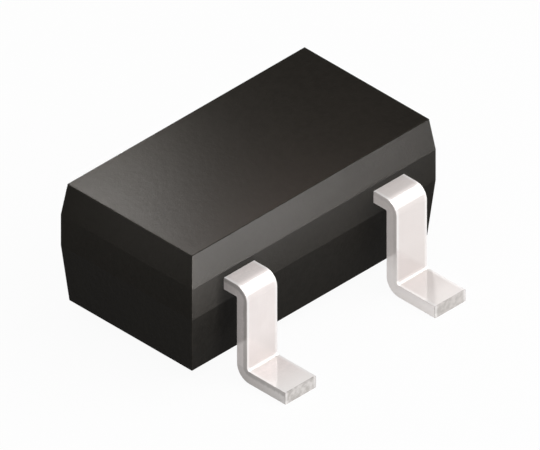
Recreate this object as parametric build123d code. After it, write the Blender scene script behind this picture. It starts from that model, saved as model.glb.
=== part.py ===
from build123d import *
from math import radians, tan
import os

# Small three-lead moulded transistor, in millimetres.
# Z = 0 is the seating plane of the lead soles, +Z up. X runs along the body.
# Leads 1 and 2 leave the -Y side, lead 3 leaves the middle of the +Y side.

# Moulded body
body_length = 3.10
body_width = 1.67
stand_off = 0.13
lower_height = 0.61
band_height = 0.335
upper_height = 0.335
lower_draft = 5.1
upper_draft = 7.3
body_edge_radius = 0.008
ejector_mark_diameter = 0.62
ejector_mark_depth = 0.015

# Formed leads outside the body
lead_pitch = 1.90
lead_width = 0.39
lead_thickness = 0.13
lead_step = 0.14
lead_edge_chamfer = 0.005
leg_gap = 0.162
bend_radius = 0.01
foot_bend_radius = 0.03
foot_reach = 0.617

# Lead frame inside the body
frame_setback = 0.10
post_ear = 0.08
post_depth = 0.50
post_corner_radius = 0.05
frame_gap = 0.18
paddle_width = 1.06
paddle_depth = 0.92
paddle_offset = 0.03
paddle_corner_radius = 0.06
neck_width = 0.52
lock_hole_diameter = 0.14
lock_hole_setback = 0.11
lock_notch_radius = 0.06

# Chip, its adhesive and its bond pads
die_width = 0.46
die_depth = 0.46
die_thickness = 0.14
attach_thickness = 0.015
attach_fillet = 0.03
pad_size = 0.10
pad_thickness = 0.004
pad_edge_margin = 0.07

# Bond wires: ball on the chip, loop, stitch on the post
wire_diameter = 0.025
wire_flats = 12
ball_diameter = 0.068
ball_height = 0.018
ball_chamfer = 0.006
loop_height = 0.10
loop_radius = 0.035
stitch_length = 0.07
stitch_width = 0.045
stitch_thickness = 0.008
stitch_setback = 0.14

# Levels and places that follow from the sizes above
band_low = stand_off + lower_height
band_high = band_low + band_height
body_top = band_high + upper_height
lead_low = band_low + lead_step
lead_high = lead_low + lead_thickness
attach_top = lead_high + attach_thickness
die_top = attach_top + die_thickness
pad_top = die_top + pad_thickness

band_face = body_width / 2
frame_edge = band_face - frame_setback
leg_inner_face = band_face + leg_gap
leg_centre = leg_inner_face + lead_thickness / 2
lead_tip = leg_inner_face + foot_reach
post_inner_edge = frame_edge - post_depth
paddle_side = paddle_width / 2
chip_centre = (0, paddle_offset)


def plan_at(level, setback=0):
    """Outline of the body in plan at one level, drawn in on each side by its draft there."""
    outline = RectangleRounded(
        body_length - 2 * setback, body_width - 2 * setback, body_edge_radius
    )
    return Pos(0, 0, level) * outline


def moulded_outline():
    """Body as it leaves the mould: a straight band between two drafted halves."""
    lower_setback = lower_height * tan(radians(lower_draft))
    upper_setback = upper_height * tan(radians(upper_draft))
    outlines = [
        plan_at(stand_off, lower_setback),
        plan_at(band_low),
        plan_at(band_high),
        plan_at(body_top, upper_setback),
    ]
    block = loft(outlines, ruled=True)
    levels = block.edges().group_by(Axis.Z)
    block = fillet(levels[0] + levels[-1], body_edge_radius)

    mark = Cylinder(ejector_mark_diameter / 2, 2 * ejector_mark_depth)
    return block - Pos(0, 0, stand_off) * mark


def formed_strip():
    """Gull wing outside the body: strip swept out, down and out again, towards -Y."""
    level = lead_low + lead_thickness / 2
    sole_level = lead_thickness / 2
    path = FilletPolyline(
        (0, -frame_edge, level),
        (0, -leg_centre, level),
        (0, -leg_centre, sole_level),
        (0, -lead_tip, sole_level),
        radius=(bend_radius + lead_thickness / 2, foot_bend_radius + lead_thickness / 2),
    )
    section = chamfer(Rectangle(lead_width, lead_thickness).vertices(), lead_edge_chamfer)
    start = Plane(origin=path @ 0, x_dir=(1, 0, 0), z_dir=path % 0)
    return sweep(start * section, path)


def stamped_plate(outline):
    """Flat part of the lead frame, one strip thick, from its outline in plan."""
    return extrude(Pos(0, 0, lead_low) * outline, lead_thickness)


def signal_lead(side):
    """Lead 1 (side -1) or lead 2 (side +1): gull wing with its bond post in one piece."""
    lead_x = side * lead_pitch / 2
    outer_x = side * (lead_pitch / 2 + lead_width / 2 + post_ear)
    inner_x = side * (paddle_side + frame_gap)
    centre_x = (outer_x + inner_x) / 2
    centre_y = -(frame_edge + post_inner_edge) / 2
    post = Pos(centre_x, centre_y) * RectangleRounded(
        abs(outer_x - inner_x), post_depth, post_corner_radius
    )
    lock_hole = Pos(lead_x, -(frame_edge - lock_hole_setback)) * Circle(lock_hole_diameter / 2)
    return stamped_plate(post - lock_hole) + Pos(lead_x, 0, 0) * formed_strip()


def collector_lead():
    """Lead 3: gull wing, notched neck and chip paddle in one piece."""
    paddle_far_edge = paddle_offset + paddle_depth / 2
    neck_length = frame_edge - paddle_far_edge
    neck = Pos(0, frame_edge - neck_length / 2) * Rectangle(neck_width, neck_length)
    paddle = Pos(*chip_centre) * RectangleRounded(
        paddle_width, paddle_depth, paddle_corner_radius
    )
    notch_y = frame_edge - neck_length / 2
    notches = [Pos(side * neck_width / 2, notch_y) * Circle(lock_notch_radius) for side in (-1, 1)]
    strip = Rot(0, 0, 180) * formed_strip()
    return stamped_plate(paddle + neck - notches) + strip


def adhesive_layer():
    """Die attach: thin layer squeezed out into a sloping rim round the chip."""
    foot = Rectangle(die_width + 2 * attach_fillet, die_depth + 2 * attach_fillet)
    rim = Rectangle(die_width, die_depth)
    layer = loft([Pos(0, 0, lead_high) * foot, Pos(0, 0, attach_top) * rim])
    return Pos(*chip_centre) * layer


def pad_place(side):
    """Centre of a bond pad on the chip, near its front corner on that side."""
    reach_x = die_width / 2 - pad_edge_margin - pad_size / 2
    reach_y = die_depth / 2 - pad_edge_margin - pad_size / 2
    return Vector(side * reach_x, paddle_offset - reach_y, pad_top)


def silicon_die():
    """Chip with its raised base and emitter pads."""
    chip = Pos(*chip_centre, attach_top + die_thickness / 2) * Box(
        die_width, die_depth, die_thickness
    )
    for side in (-1, 1):
        centre = pad_place(side)
        pad = Box(pad_size, pad_size, pad_thickness)
        chip += Pos(centre.X, centre.Y, die_top + pad_thickness / 2) * pad
    return chip


def stitch_place(side):
    """Where a wire is stitched to the bond post, near the post's inner corner."""
    stitch_x = side * (paddle_side + frame_gap + stitch_setback)
    return Vector(stitch_x, -(post_inner_edge + stitch_setback), lead_high)


def bond_wire(side):
    """One wire: squashed ball on the pad, upright neck, loop and flattened stitch."""
    pad = pad_place(side)
    stitch = stitch_place(side)
    run = Vector(stitch.X - pad.X, stitch.Y - pad.Y, 0)

    ball = extrude(Plane(pad) * Circle(ball_diameter / 2), ball_height)
    ball = chamfer(ball.edges().group_by(Axis.Z)[-1], ball_chamfer)

    start = pad + Vector(0, 0, ball_height / 2)
    crest = pad + Vector(0, 0, loop_height)
    landing = stitch + run.normalized() * (stitch_length / 2)
    path = FilletPolyline(start, crest, landing, radius=loop_radius)
    section = Plane(start) * RegularPolygon(wire_diameter / 2, wire_flats)
    wire = sweep(section, path)

    foot = Plane(origin=stitch, x_dir=run.normalized(), z_dir=(0, 0, 1)) * Ellipse(
        stitch_length / 2, stitch_width / 2
    )
    under_wire = Rectangle(2 * stitch_length, 2 * stitch_length)
    post = extrude(Plane(stitch) * under_wire, -wire_diameter)
    return ball + wire + extrude(foot, stitch_thickness) - post


pieces = {
    "lead_base": signal_lead(-1),
    "lead_emitter": signal_lead(1),
    "lead_collector": collector_lead(),
    "die_attach": adhesive_layer(),
    "die": silicon_die(),
    "base_bond_wire": bond_wire(-1),
    "emitter_bond_wire": bond_wire(1),
}

# The compound flows round everything inside it, so the body is cut by each piece.
moulded_body = moulded_outline()
for piece in pieces.values():
    moulded_body -= piece
pieces["moulded_body"] = moulded_body

os.makedirs("parts", exist_ok=True)
for name, shape in pieces.items():
    export_step(shape, f"parts/{name}.step")
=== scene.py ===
from math import pi, radians, tan

import bpy
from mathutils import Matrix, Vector


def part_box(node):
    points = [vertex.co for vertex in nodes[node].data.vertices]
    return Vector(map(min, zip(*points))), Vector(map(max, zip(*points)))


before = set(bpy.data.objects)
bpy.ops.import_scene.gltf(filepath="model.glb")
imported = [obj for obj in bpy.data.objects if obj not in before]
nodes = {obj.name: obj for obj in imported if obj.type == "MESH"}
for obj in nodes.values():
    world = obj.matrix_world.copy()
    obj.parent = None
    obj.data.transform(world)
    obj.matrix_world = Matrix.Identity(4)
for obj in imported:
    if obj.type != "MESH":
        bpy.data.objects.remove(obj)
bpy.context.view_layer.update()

MM = 0.001

# Levels and places of the case that its finish follows, in millimetres
body_low, body_high = [Vector(corner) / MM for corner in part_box("moulded_body")]
HALF_LENGTH, HALF_WIDTH = body_high.x, body_high.y
BODY_BOTTOM, BODY_TOP = body_low.z, body_high.z
BAND_LOW, BAND_HIGH = 0.74, 1.075
LOWER_DRAFT, UPPER_DRAFT = radians(5.1), radians(7.3)

# The same of the leads and chip: middle of the strip, radii along its middle, and its faces
LEAD_X = 0.95
STRIP_LEVEL = 0.945
LEG_CENTRE = 1.062
SHOULDER_BEND = 0.075
FOOT_BEND = 0.095
HALF_STRIP = 0.065
HALF_LEAD_WIDTH = 0.195
FRAME_TOP = STRIP_LEVEL + HALF_STRIP
LEG_FRONT = LEG_CENTRE + HALF_STRIP
FOOT_TOP = 2 * HALF_STRIP
LEAD_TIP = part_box("lead_collector")[1][1] / MM
DIE_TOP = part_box("die")[1][2] / MM


# Node maths written as formulas

class Field:
    """A number that varies over a surface; formulas of fields become Math nodes."""

    def __init__(self, tree, socket):
        self.tree = tree
        self.socket = socket

    def math(self, operation, *others):
        node = self.tree.nodes.new("ShaderNodeMath")
        node.operation = operation
        for value, target in zip((self, *others), node.inputs):
            if isinstance(value, Field):
                self.tree.links.new(value.socket, target)
            else:
                target.default_value = value
        return Field(self.tree, node.outputs[0])

    def __add__(self, other):
        return self.math("ADD", other)

    def __sub__(self, other):
        return self.math("SUBTRACT", other)

    def __rsub__(self, other):
        return (self - other) * -1

    def __mul__(self, other):
        return self.math("MULTIPLY", other)

    def __abs__(self):
        return self.math("ABSOLUTE")

    def lowest(self, other):
        return self.math("MINIMUM", other)

    def highest(self, other):
        return self.math("MAXIMUM", other)

    def length(self, other):
        return (self * self + other * other).math("SQRT")

    def ramp(self, start, end, low=0.0, high=1.0):
        """Goes smoothly from low to high as the field goes from start to end."""
        node = self.tree.nodes.new("ShaderNodeMapRange")
        node.interpolation_type = "SMOOTHSTEP"
        set_inputs(node, From_Min=start, From_Max=end, To_Min=low, To_Max=high)
        self.tree.links.new(self.socket, node.inputs["Value"])
        return Field(self.tree, node.outputs["Result"])

    def below(self, level, blur):
        """1 where the field is under the level, 0 over it, blurred to both sides."""
        return self.ramp(level - blur, level + blur, 1, 0)


def set_inputs(node, **values):
    """Sets a node's input sockets by name, with spaces written as underscores."""
    for name, value in values.items():
        node.inputs[name.replace("_", " ")].default_value = value


def new_tree(owner):
    """Turns on nodes for a material or world and empties its tree."""
    owner.use_nodes = True
    owner.node_tree.nodes.clear()
    return owner.node_tree


class Finish:
    """A material in the making: a Principled shader and the place on the part in millimetres."""

    def __init__(self, name, **values):
        self.material = bpy.data.materials.new(name)
        self.tree = new_tree(self.material)
        output = self.tree.nodes.new("ShaderNodeOutputMaterial")
        self.shader = self.tree.nodes.new("ShaderNodeBsdfPrincipled")
        set_inputs(self.shader, **values)
        self.tree.links.new(self.shader.outputs["BSDF"], output.inputs["Surface"])
        coordinates = self.tree.nodes.new("ShaderNodeTexCoord")
        self.place = self.scaled(coordinates.outputs["Object"], (1 / MM, 1 / MM, 1 / MM))
        axes = self.tree.nodes.new("ShaderNodeSeparateXYZ")
        self.tree.links.new(self.place, axes.inputs[0])
        self.x, self.y, self.z = [Field(self.tree, socket) for socket in axes.outputs]

    def scaled(self, source, factors):
        node = self.tree.nodes.new("ShaderNodeVectorMath")
        node.operation = "MULTIPLY"
        node.inputs[1].default_value = factors
        self.tree.links.new(source, node.inputs[0])
        return node.outputs[0]

    def noise(self, per_mm, detail=2.0, stretch=(1, 1, 1)):
        """Noise with so many features a millimetre, spread over 0..1."""
        node = self.tree.nodes.new("ShaderNodeTexNoise")
        set_inputs(node, Scale=per_mm, Detail=detail)
        self.tree.links.new(self.scaled(self.place, stretch), node.inputs["Vector"])
        return Field(self.tree, node.outputs["Fac"]).ramp(0.3, 0.7)

    def mix(self, factor, first, second):
        """Colour from first to second; first is a colour or what an earlier mix gave."""
        node = self.tree.nodes.new("ShaderNodeMix")
        node.data_type = "RGBA"
        for colour, target in ((first, node.inputs["A"]), (second, node.inputs["B"])):
            if isinstance(colour, tuple):
                target.default_value = (*colour, 1)
            else:
                self.tree.links.new(colour, target)
        self.tree.links.new(factor.socket, node.inputs["Factor"])
        return node.outputs["Result"]

    def coats(self, factor, first, second, *others):
        """Colour from first to second by the factor, then each (factor, colour) mixed over it."""
        colour = self.mix(factor, first, second)
        for share, other in others:
            colour = self.mix(share, colour, other)
        return colour

    def wear(self, colour, roughness, height, relief):
        """Links colour, roughness and a bump whose height of 1 stands relief millimetres proud."""
        bump = self.tree.nodes.new("ShaderNodeBump")
        set_inputs(bump, Strength=1.0, Distance=relief * MM)
        self.tree.links.new(height.socket, bump.inputs["Height"])
        self.tree.links.new(colour, self.shader.inputs["Base Color"])
        self.tree.links.new(roughness.socket, self.shader.inputs["Roughness"])
        self.tree.links.new(bump.outputs["Normal"], self.shader.inputs["Normal"])
        return self.material


# Materials of the part

def distance_to_edge(finish):
    """How many millimetres a point on the case lies from its nearest outer edge."""
    above = (finish.z - BAND_HIGH).highest(0) * tan(UPPER_DRAFT)
    below = (BAND_LOW - finish.z).highest(0) * tan(LOWER_DRAFT)
    to_end = HALF_LENGTH - (abs(finish.x) + above + below)
    to_side = HALF_WIDTH - (abs(finish.y) + above + below)
    to_level = (BODY_TOP - finish.z).lowest(finish.z - BODY_BOTTOM)
    return to_end.lowest(to_side).highest(to_end.highest(to_side).lowest(to_level))


def moulding_compound():
    """Silica-filled epoxy: spark-eroded grain, cloudy colour, edges lightened by rubbing and by a painted
    highlight, and painted shade on the lower half.
    """
    finish = Finish("mould_compound", Specular_IOR_Level=0.022, Specular_Tint=(1.0, 0.90, 0.80, 1))
    cloud = finish.noise(4)
    grain = finish.noise(55, 3.0)
    filler = finish.noise(18, 3.0)
    # Edges lighter: partly rubbing wear, partly a painted highlight
    edge_wear_and_highlight = distance_to_edge(finish).ramp(0.004, 0.018, 1, 0) * (filler * 0.5 + 0.5)
    lower_half = finish.z.below(BAND_LOW, 0.01)
    upper_half = 1 - finish.z.below(BAND_HIGH, 0.01)

    colour = finish.coats(
        cloud, (0.0082, 0.0072, 0.0054), (0.0094, 0.0082, 0.0062),
        (filler * 0.5, (0.0120, 0.0106, 0.0084)),
        # Painted shade: the lower half of the case darker than the upper
        (lower_half * 0.4, (0.0040, 0.0035, 0.0026)),
        (edge_wear_and_highlight, (0.024, 0.022, 0.019)),
    )
    roughness = filler * 0.030 - lower_half * 0.058 - upper_half * 0.018 + 0.415
    return finish.wear(colour, roughness, grain * 0.6 + filler, 0.0005)


def strip_depth(finish):
    """Where a point lies in the strip's thickness: + at its top and front, - underneath."""
    reach = abs(finish.y)
    outer = (reach - (LEG_CENTRE - SHOULDER_BEND)).highest(0)
    rise = (finish.z - (STRIP_LEVEL - SHOULDER_BEND)).highest(0)
    inner = ((LEG_CENTRE + FOOT_BEND) - reach).highest(0)
    fall = ((HALF_STRIP + FOOT_BEND) - finish.z).highest(0)
    upper = outer.length(rise) - SHOULDER_BEND
    lower = FOOT_BEND - inner.length(fall)
    above_middle = finish.z.math("GREATER_THAN", STRIP_LEVEL / 2)
    return upper * above_middle + lower * (1 - above_middle)


def tin_plating():
    """Tin on stamped copper strip: rolling grain, sheared sides, cut ends, bare inside the body."""
    finish = Finish("tin_plate", Metallic=0.12)
    reach = abs(finish.y)

    # Parts of a lead; the emitter lead carries painted shade that makes it a little darker than the others
    emitter = finish.x.ramp(0.3, 0.7)
    others = 1 - emitter
    near_side = finish.y.math("LESS_THAN", 0)
    across = abs(abs(finish.x) - near_side * LEAD_X)
    side = across.ramp(HALF_LEAD_WIDTH - 0.008, HALF_LEAD_WIDTH - 0.002)
    flat = 1 - side
    # Painted highlight along the long edges of the flat faces
    edge_highlight = across.ramp(HALF_LEAD_WIDTH - 0.045, HALF_LEAD_WIDTH - 0.005) * flat
    cut_end = reach.ramp(LEAD_TIP - 0.010, LEAD_TIP - 0.003)
    foot = finish.z.below(FOOT_TOP + 0.02, 0.01)
    shaded_foot_start = foot * flat * reach.ramp(1.32, 1.5, 1, 0)
    lit_foot_end = reach.ramp(LEG_FRONT + FOOT_BEND, LEAD_TIP)
    low = finish.z.ramp(0.2, 0.55, 1, 0)
    low_leg_shade = low * reach.ramp(LEG_FRONT, LEG_FRONT + FOOT_BEND, 1, 0)
    shoulder = reach.ramp(LEG_CENTRE - 0.1, LEG_CENTRE - 0.08, 1, 0)
    bare = reach.ramp(HALF_WIDTH - 0.006, HALF_WIDTH, 1, 0)
    silver_spot = finish.z.ramp(FRAME_TOP - 0.006, FRAME_TOP - 0.002) * reach.ramp(0.55, 0.56, 1, 0)

    # Wear and texture, and painted light on the emitter's sides
    cloud = finish.noise(6)
    rolling = finish.noise(45, 3.0, (1, 0.06, 0.06)) * (1 - cut_end)
    grain = finish.noise(60)
    mottled = side.highest(shoulder).highest(foot) * finish.noise(42)
    ragged = finish.noise(30, 3.0, (1, 1, 0.3)) * 0.012
    sheared_and_side_light = side * (strip_depth(finish) + ragged).ramp(0.012, 0.045)
    # The dark sheared band grows a little towards the bottom and is mostly taken off the emitter's sides,
    # as painted light
    sheared_and_side_light = sheared_and_side_light * (low * 0.12 + 0.5) * (1 - emitter * (low * 0.3 + 0.6))
    torn = cut_end * (finish.noise(20) * 0.5 + 0.55) * (1 - edge_highlight * 0.6)

    # Image of the foot in the front of the emitter's leg, as a fixed shade
    leg_front = reach.ramp(LEG_FRONT - 0.007, LEG_FRONT - 0.001) * finish.z.ramp(0.155, 0.175)
    near_foot = (finish.x + finish.z).below(LEAD_X + HALF_LEAD_WIDTH + FOOT_TOP, 0.03)
    shaded = emitter * leg_front * near_foot * 0.55

    colour = finish.coats(
        cloud, (0.90, 0.825, 0.805), (0.93, 0.86, 0.84),
        (rolling * 0.25, (0.84, 0.775, 0.755)),
        # Painted shade: the leg darker towards its bottom
        (low_leg_shade, (0.80, 0.74, 0.72)),
        (mottled * 0.4, (0.74, 0.69, 0.67)),
        # Painted light: the foot lighter towards its tip
        (low * lit_foot_end, (1.0, 0.96, 0.94)),
        # Painted shade: the whole emitter lead a little darker
        (emitter * 0.6, (0.79, 0.735, 0.71)),
        # Painted reflection of the dark case: the emitter's foot darker near its leg
        (emitter * shaded_foot_start * 0.35, (0.66, 0.62, 0.60)),
        # Painted shade: the sides of the base and collector feet darker
        (others * foot * side * 0.35, (0.50, 0.47, 0.45)),
        # Painted light: the emitter's sides lighter towards the bottom
        (emitter * low * side * 0.7, (1.0, 0.95, 0.93)),
        # Painted highlight along the lead edges
        (edge_highlight, (1.0, 0.97, 0.96)),
        (shaded, (0.66, 0.605, 0.59)),
        (sheared_and_side_light, (0.36, 0.33, 0.31)),
        (torn, (0.52, 0.49, 0.465)),
        (bare, (0.80, 0.42, 0.28)),
        (bare * silver_spot, (0.90, 0.88, 0.85)),
    )
    roughness = rolling * 0.03 + 0.065 + cut_end * 0.2 + bare * 0.15
    height = rolling + grain * (0.6 - cut_end * 0.4)
    return finish.wear(colour, roughness, height, 0.00012)


def silicon():
    """Sawn chip: dark polished silicon, saw marks on its sides, aluminium on its two pads."""
    finish = Finish("silicon", Metallic=0.3)
    cloud = finish.noise(10)
    saw_marks = finish.noise(150, 1.0, (0.05, 0.05, 1))
    pad = finish.z.ramp(DIE_TOP - 0.003, DIE_TOP - 0.001)
    colour = finish.coats(
        cloud, (0.055, 0.060, 0.075), (0.085, 0.085, 0.100),
        (pad, (0.80, 0.80, 0.81)),
    )
    return finish.wear(colour, saw_marks * 0.15 + 0.12 + pad * 0.2, saw_marks, 0.0003)


def silver_adhesive():
    """Cured die adhesive: matt grey with silver flakes."""
    finish = Finish("silver_adhesive", Metallic=0.5)
    flakes = finish.noise(120, 3.0)
    colour = finish.mix(flakes, (0.48, 0.47, 0.45), (0.72, 0.71, 0.69))
    return finish.wear(colour, flakes * -0.2 + 0.6, flakes, 0.001)


def gold():
    """Drawn gold wire: fine lengthwise grain."""
    finish = Finish("gold_wire", Metallic=1.0)
    drawn = finish.noise(90, 2.0, (0.3, 0.3, 1))
    colour = finish.mix(drawn, (0.94, 0.70, 0.30), (1.0, 0.78, 0.38))
    return finish.wear(colour, drawn * 0.1 + 0.2, drawn, 0.0003)


def dress(material, slot, *node_names):
    for node_name in node_names:
        node = nodes[node_name]
        node.data.materials.clear()
        node.data.materials.append(material)


dress(moulding_compound(), "moulding_compound", "moulded_body")
dress(tin_plating(), "tin_plated_lead", "lead_base", "lead_emitter", "lead_collector")
dress(silicon(), "silicon", "die")
dress(silver_adhesive(), "silver_adhesive", "die_attach")
dress(gold(), "gold_wire", "base_bond_wire", "emitter_bond_wire")


# White room: the camera and mirrored rays see it white, and it lights the part more weakly

FLOOR_SIZE = 200 * MM
FLOOR_GREY = 0.8
FLOOR_GLOW = 0.95
WHITE = (1, 1, 1, 1)
FILL = 0.3


def seen_directly(tree):
    """1 for rays from the camera and for rays mirrored or let through to what the camera sees."""
    path = tree.nodes.new("ShaderNodeLightPath")
    rays = [Field(tree, path.outputs[f"Is {kind} Ray"]) for kind in ("Camera", "Glossy", "Transmission")]
    return rays[0].highest(rays[1]).highest(rays[2])


def mix_shaders(tree, factor, first, second, output):
    mix = tree.nodes.new("ShaderNodeMixShader")
    tree.links.new(factor.socket, mix.inputs["Fac"])
    tree.links.new(first.outputs[0], mix.inputs[1])
    tree.links.new(second.outputs[0], mix.inputs[2])
    tree.links.new(mix.outputs[0], output.inputs["Surface"])


def white_floor():
    material = bpy.data.materials.new("floor_white")
    tree = new_tree(material)
    output = tree.nodes.new("ShaderNodeOutputMaterial")
    matt = tree.nodes.new("ShaderNodeBsdfDiffuse")
    set_inputs(matt, Color=(FLOOR_GREY, FLOOR_GREY, FLOOR_GREY, 1))
    glow = tree.nodes.new("ShaderNodeEmission")
    set_inputs(glow, Strength=1.0)
    mix_shaders(tree, seen_directly(tree) * FLOOR_GLOW, matt, glow, output)
    return material


def white_world():
    world = bpy.data.worlds.new("studio")
    tree = new_tree(world)
    output = tree.nodes.new("ShaderNodeOutputWorld")
    fill = tree.nodes.new("ShaderNodeBackground")
    set_inputs(fill, Color=WHITE, Strength=FILL)
    seen = tree.nodes.new("ShaderNodeBackground")
    set_inputs(seen, Color=WHITE, Strength=1.0)
    mix_shaders(tree, seen_directly(tree), fill, seen, output)
    return world


bpy.ops.mesh.primitive_plane_add(size=FLOOR_SIZE)
floor = bpy.context.object
floor.name = "floor"
floor.data.materials.append(white_floor())

bpy.context.scene.world = white_world()


# Lamps

def receivers(name, *node_names):
    """Collection of the nodes that a lamp is kept to."""
    collection = bpy.data.collections.new(name)
    for node_name in node_names:
        collection.objects.link(nodes[node_name])
    return collection


CASE = receivers("case_only", "moulded_body")
LEADS = receivers("leads_only", "lead_base", "lead_emitter", "lead_collector")
EMITTER = receivers("emitter_only", "lead_emitter")

CENTRE = (0, 0, 0.7)
EMITTER_LEG = (LEAD_X, -1.1, 0.5)
NEUTRAL = (1, 1, 1)
COOL = (0.98, 1.0, 1.03)
WARM = (1.25, 1.0, 0.92)


def softbox(name, place, aim, size, brightness, diffuse=True, glossy=True, only=None, shadow=True):
    """Area lamp; place, aim and size in millimetres, brightness against the white background."""
    data = bpy.data.lights.new(name, "AREA")
    data.shape = "RECTANGLE"
    data.size, data.size_y = Vector(size) * MM
    data.energy = brightness * pi * data.size * data.size_y
    data.use_shadow = shadow
    lamp = bpy.data.objects.new(name, data)
    lamp.location = Vector(place) * MM
    direction = Vector(aim) - Vector(place)
    lamp.rotation_euler = direction.to_track_quat("-Z", "Y").to_euler()
    lamp.visible_camera = False
    lamp.visible_diffuse = diffuse
    lamp.visible_glossy = glossy
    lamp.light_linking.receiver_collection = only
    bpy.context.scene.collection.objects.link(lamp)
    return lamp


def case_light(name, place, aim, size, brightness, shadow=True, colour=NEUTRAL):
    """Lamp for the sheen of the moulded case alone."""
    lamp = softbox(name, place, aim, size, brightness, diffuse=False, only=CASE, shadow=shadow)
    lamp.data.color = colour


softbox("key_softbox", (20, -24, 25.7), CENTRE, (46, 46), 2.3)
softbox("overhead_softbox", (0, 4, 40), CENTRE, (40, 40), 0.8, glossy=False)
softbox("shoulder_softbox", (23.1, -9, 31.4), CENTRE, (26, 20), 3, diffuse=False, only=LEADS)
softbox("emitter_fill", (-30, 10, 1), EMITTER_LEG, (30, 20), 1.6, glossy=False, only=EMITTER, shadow=False)

case_light("front_strip", (1.6, -3.2, 0.2), (1.6, 0, 0.2), (4, 0.28), 200, shadow=False, colour=COOL)
case_light("front_spot", (1.1, -3.2, 0.2), (1.1, 0, 0.2), (1, 0.28), 170, shadow=False, colour=COOL)
case_light("left_strip", (-0.9, -3.2, 0.2), (-0.9, 0, 0.2), (1, 0.28), 1080)
case_light("back_strip", (-4.1, 1.5, 0.33), (0, 1.5, 0.33), (1.6, 0.5), 25)
case_light("top_sheen", (0.5, 2.6, 4.61), (-2.7, -0.6, 1.41), (1.2, 2.6), 78)
case_light("side_sheen", (1.7, 0.8, 4.61), (-1.5, -2.4, 1.41), (1.4, 0.8), 62, colour=WARM)
case_light("rear_strip", (0, 3.2, 0.2), (0, 0, 0.2), (2.8, 0.28), 190, shadow=False)
case_light("right_strip", (4.0, 0, 0.2), (0, 0, 0.2), (1.4, 0.28), 190)
case_light("corner_strip", (-3.8, -2.4, 0.25), (-1.5, -0.8, 0.7), (1.6, 0.4), 60)
case_light("left_sheen", (-4.2, 2.6, 4.2), (-0.6, -0.4, 1.41), (1.4, 2.6), 40)
case_light("near_sheen", (-2.6, -4.2, 4.2), (0.8, -0.4, 1.41), (1.4, 2.6), 40)


# Camera: isometric view, its middle this many millimetres to the right of the origin and above it

BACK = Vector((-1, -1, 1)).normalized()
IMAGE_WIDTH = 540
PIXELS_PER_MM = 111.4
MIDDLE_RIGHT, MIDDLE_UP = 0.1951, 0.4900
CAMERA_DISTANCE = 20

camera_data = bpy.data.cameras.new("camera")
camera = bpy.data.objects.new("camera", camera_data)
bpy.context.scene.collection.objects.link(camera)
bpy.context.scene.camera = camera
camera_data.type = "ORTHO"
camera_data.ortho_scale = IMAGE_WIDTH / PIXELS_PER_MM * MM
camera_data.clip_start = 1 * MM
camera_data.clip_end = 1000 * MM
camera.rotation_mode = "QUATERNION"
camera.rotation_quaternion = (-BACK).to_track_quat("-Z", "Y")
right = camera.rotation_quaternion @ Vector((1, 0, 0))
up = camera.rotation_quaternion @ Vector((0, 1, 0))
camera.location = (right * MIDDLE_RIGHT + up * MIDDLE_UP + BACK * CAMERA_DISTANCE) * MM

bpy.context.scene.view_settings.view_transform = "Standard"
